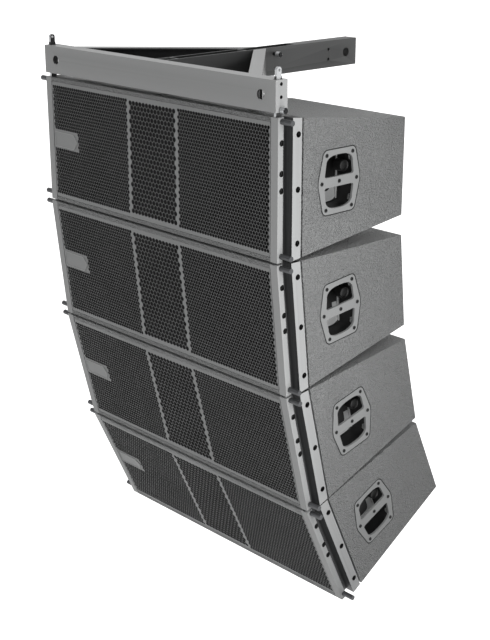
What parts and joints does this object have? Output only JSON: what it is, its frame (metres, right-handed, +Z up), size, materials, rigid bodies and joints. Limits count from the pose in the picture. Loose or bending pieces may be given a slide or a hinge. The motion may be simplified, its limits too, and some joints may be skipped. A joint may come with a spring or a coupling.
{
  "type": "line array speaker",
  "caption": "Hanging curved line array: lifting frame with a rear spine, over wedge cabinets with perforated fronts, side handles and hinged corner rails.",
  "frame": {"origin": "centre of the lifting hole near the back end of the fly frame's spine, on the centre plane", "axes": "+Z up, the perforated fronts face -Y, +X along the lifting hole"},
  "size_m": [0.797, 0.6, 1.1893],
  "materials": {
    "textured_paint": "textured polyurethane paint over plywood",
    "board": "black stained plywood",
    "grille_steel": "powder-coated perforated steel",
    "rail_paint": "light grey powder coat",
    "pin_steel": "turned steel",
    "handle_alloy": "grey painted die casting",
    "black_screw": "black oxide",
    "basket": "cast aluminium",
    "cone_paper": "treated paper and rubber",
    "horn_abs": "moulded ABS",
    "frame_paint": "grey powder coat",
    "black_plate": "black plate"
  },
  "bodies": {
    "fly_frame": {"front_beam": "frame_paint", "link_bars": "pin_steel", "spine": "frame_paint", "diagonal_arms": "frame_paint", "frame_blade": "pin_steel"},
    "left_frame_pin": {"left_frame_pin": "pin_steel"},
    "right_frame_pin": {"right_frame_pin": "pin_steel"},
    "spine_pin": {"spine_pin": "pin_steel"},
    "cab_1": {"cab_1_enclosure": "textured_paint", "cab_1_baffle": "board", "cab_1_grille": "grille_steel", "cab_1_rails": "rail_paint", "cab_1_hinge_set": "pin_steel", "cab_1_handles": "handle_alloy", "cab_1_screws": "black_screw", "cab_1_woofers": "basket", "cab_1_horn": "horn_abs", "cab_1_rear_rigging": "frame_paint", "cab_1_input_plate": "black_plate"},
    "cab_1_cones": {"cab_1_cones": "cone_paper"},
    "cab_1_splay_pin": {"cab_1_splay_pin": "pin_steel"},
    "cab_2": {"cab_2_enclosure": "textured_paint", "cab_2_baffle": "board", "cab_2_grille": "grille_steel", "cab_2_rails": "rail_paint", "cab_2_hinge_set": "pin_steel", "cab_2_handles": "handle_alloy", "cab_2_screws": "black_screw", "cab_2_woofers": "basket", "cab_2_horn": "horn_abs", "cab_2_rear_rigging": "frame_paint", "cab_2_input_plate": "black_plate"},
    "cab_2_cones": {"cab_2_cones": "cone_paper"},
    "cab_2_splay_pin": {"cab_2_splay_pin": "pin_steel"},
    "cab_3": {"cab_3_enclosure": "textured_paint", "cab_3_baffle": "board", "cab_3_grille": "grille_steel", "cab_3_rails": "rail_paint", "cab_3_hinge_set": "pin_steel", "cab_3_handles": "handle_alloy", "cab_3_screws": "black_screw", "cab_3_woofers": "basket", "cab_3_horn": "horn_abs", "cab_3_rear_rigging": "frame_paint", "cab_3_input_plate": "black_plate"},
    "cab_3_cones": {"cab_3_cones": "cone_paper"},
    "cab_3_splay_pin": {"cab_3_splay_pin": "pin_steel"},
    "cab_4": {"cab_4_enclosure": "textured_paint", "cab_4_baffle": "board", "cab_4_grille": "grille_steel", "cab_4_rails": "rail_paint", "cab_4_hinge_set": "pin_steel", "cab_4_handles": "handle_alloy", "cab_4_screws": "black_screw", "cab_4_woofers": "basket", "cab_4_horn": "horn_abs", "cab_4_rear_rigging": "frame_paint", "cab_4_input_plate": "black_plate"},
    "cab_4_cones": {"cab_4_cones": "cone_paper"},
    "cab_4_splay_pin": {"cab_4_splay_pin": "pin_steel"}
  },
  "joints": [
    {"name": "left_frame_pin_pull", "type": "slide", "parent": "fly_frame", "child": "left_frame_pin", "axis": [-1, 0, 0], "range_m": [0, 0.022]},
    {"name": "right_frame_pin_pull", "type": "slide", "parent": "fly_frame", "child": "right_frame_pin", "axis": [1, 0, 0], "range_m": [0, 0.022]},
    {"name": "spine_pin_pull", "type": "slide", "parent": "fly_frame", "child": "spine_pin", "axis": [1, 0, 0], "range_m": [0, 0.045]},
    {"name": "cab_1_splay", "type": "hinge", "parent": "fly_frame", "child": "cab_1", "pos_m": [0, -0.553, -0.0465], "axis": [1, 0, 0], "range_deg": [0, 6]},
    {"name": "cab_1_cone_travel", "type": "slide", "parent": "cab_1", "child": "cab_1_cones", "axis": [0, 1, 0], "range_m": [-0.006, 0.006], "stiffness_N_per_m": 4000},
    {"name": "cab_1_splay_pin_pull", "type": "slide", "parent": "cab_1", "child": "cab_1_splay_pin", "axis": [1, 0, 0], "range_m": [0, 0.024]},
    {"name": "cab_2_splay", "type": "hinge", "parent": "cab_1", "child": "cab_2", "pos_m": [0, -0.553, -0.3292], "axis": [1, 0, 0], "range_deg": [-6, 6]},
    {"name": "cab_2_cone_travel", "type": "slide", "parent": "cab_2", "child": "cab_2_cones", "axis": [0, 0.9945, 0.1045], "range_m": [-0.006, 0.006], "stiffness_N_per_m": 4000},
    {"name": "cab_2_splay_pin_pull", "type": "slide", "parent": "cab_2", "child": "cab_2_splay_pin", "axis": [1, 0, 0], "range_m": [0, 0.024]},
    {"name": "cab_3_splay", "type": "hinge", "parent": "cab_2", "child": "cab_3", "pos_m": [0, -0.52345, -0.61035], "axis": [1, 0, 0], "range_deg": [-7.6, 4.4]},
    {"name": "cab_3_cone_travel", "type": "slide", "parent": "cab_3", "child": "cab_3_cones", "axis": [0, 0.972, 0.2351], "range_m": [-0.006, 0.006], "stiffness_N_per_m": 4000},
    {"name": "cab_3_splay_pin_pull", "type": "slide", "parent": "cab_3", "child": "cab_3_splay_pin", "axis": [1, 0, 0], "range_m": [0, 0.024]},
    {"name": "cab_4_splay", "type": "hinge", "parent": "cab_3", "child": "cab_4", "pos_m": [0, -0.45698, -0.88513], "axis": [1, 0, 0], "range_deg": [-11, 1]},
    {"name": "cab_4_cone_travel", "type": "slide", "parent": "cab_4", "child": "cab_4_cones", "axis": [0, 0.9092, 0.4163], "range_m": [-0.006, 0.006], "stiffness_N_per_m": 4000},
    {"name": "cab_4_splay_pin_pull", "type": "slide", "parent": "cab_4", "child": "cab_4_splay_pin", "axis": [1, 0, 0], "range_m": [0, 0.024]}
  ]
}
